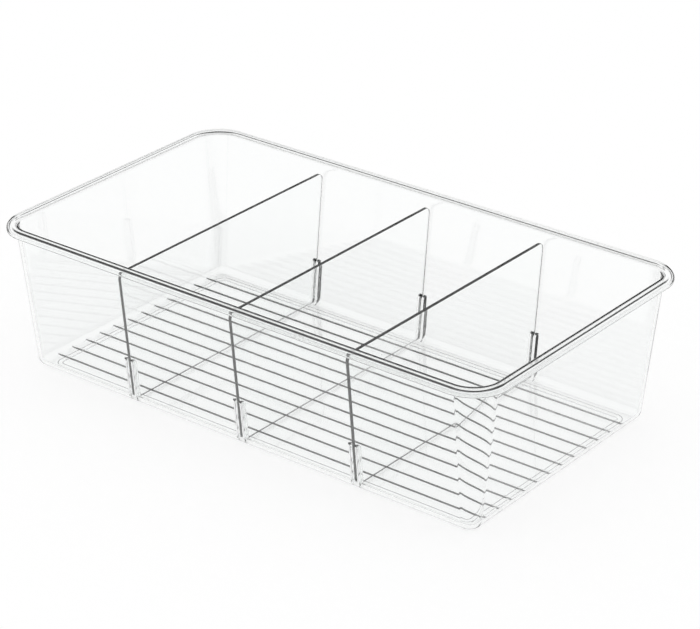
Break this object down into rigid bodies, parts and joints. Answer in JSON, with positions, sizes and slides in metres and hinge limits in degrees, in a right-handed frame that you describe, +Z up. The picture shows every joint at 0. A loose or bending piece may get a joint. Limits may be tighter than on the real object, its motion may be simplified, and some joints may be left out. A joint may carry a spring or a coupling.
{
  "type": "fridge drawer organizer",
  "caption": "Clear moulded drawer bin for a fridge, with a turned rim, ribbed floor and lift-out dividers held by guides on the long walls.",
  "frame": {"origin": "middle of the footprint, on the surface that the foot ring stands on", "axes": "+X along the long side, +Y from the front wall to the back wall, +Z up"},
  "size_m": [0.34, 0.1926, 0.091],
  "materials": {
    "clear_tray": "clear polished moulded plastic",
    "clear_divider": "clear polished plastic plate"
  },
  "bodies": {
    "tray": {"tray": "clear_tray"},
    "divider_left": {"divider_left": "clear_divider"},
    "divider_middle": {"divider_middle": "clear_divider"},
    "divider_right": {"divider_right": "clear_divider"}
  },
  "joints": [
    {"name": "divider_left_lift", "type": "slide", "parent": "tray", "child": "divider_left", "axis": [0, 0, 1], "range_m": [0, 0.095]},
    {"name": "divider_middle_lift", "type": "slide", "parent": "tray", "child": "divider_middle", "axis": [0, 0, 1], "range_m": [0, 0.095]},
    {"name": "divider_right_lift", "type": "slide", "parent": "tray", "child": "divider_right", "axis": [0, 0, 1], "range_m": [0, 0.095]}
  ]
}
